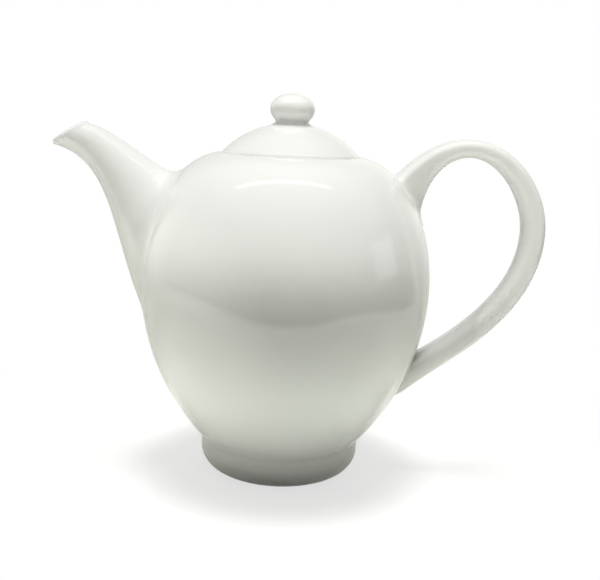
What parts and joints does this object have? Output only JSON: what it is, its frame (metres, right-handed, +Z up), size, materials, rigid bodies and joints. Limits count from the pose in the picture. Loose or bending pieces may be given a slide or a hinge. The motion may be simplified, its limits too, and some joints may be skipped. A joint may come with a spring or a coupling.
{
  "type": "teapot with infuser basket",
  "caption": "Tall white porcelain teapot with an ear handle, a curved spout, a domed knob lid and a lift-out perforated steel infuser basket hung in its mouth.",
  "frame": {"origin": "centre of the flat ring the foot stands on, on the pot's own axis", "axes": "+Z up, the spout points along -X and the handle along +X, the pictured side faces -Y"},
  "size_m": [0.2238, 0.132, 0.1737],
  "materials": {
    "porcelain": "glossy clear glaze over white porcelain",
    "steel": "fine brushed stainless sheet"
  },
  "bodies": {
    "pot": {"pot_foot": "porcelain", "pot_belly": "porcelain", "pot_shoulder": "porcelain", "spout": "porcelain", "handle": "porcelain"},
    "infuser": {"infuser_rim": "steel", "infuser_wall": "steel", "infuser_base": "steel"},
    "lid": {"lid": "porcelain", "lid_knob": "porcelain"}
  },
  "joints": [
    {"name": "infuser_lift", "type": "slide", "parent": "pot", "child": "infuser", "axis": [0, 0, 1], "range_m": [0, 0.13]},
    {"name": "lid_lift", "type": "slide", "parent": "infuser", "child": "lid", "axis": [0, 0, 1], "range_m": [0, 0.06]}
  ]
}
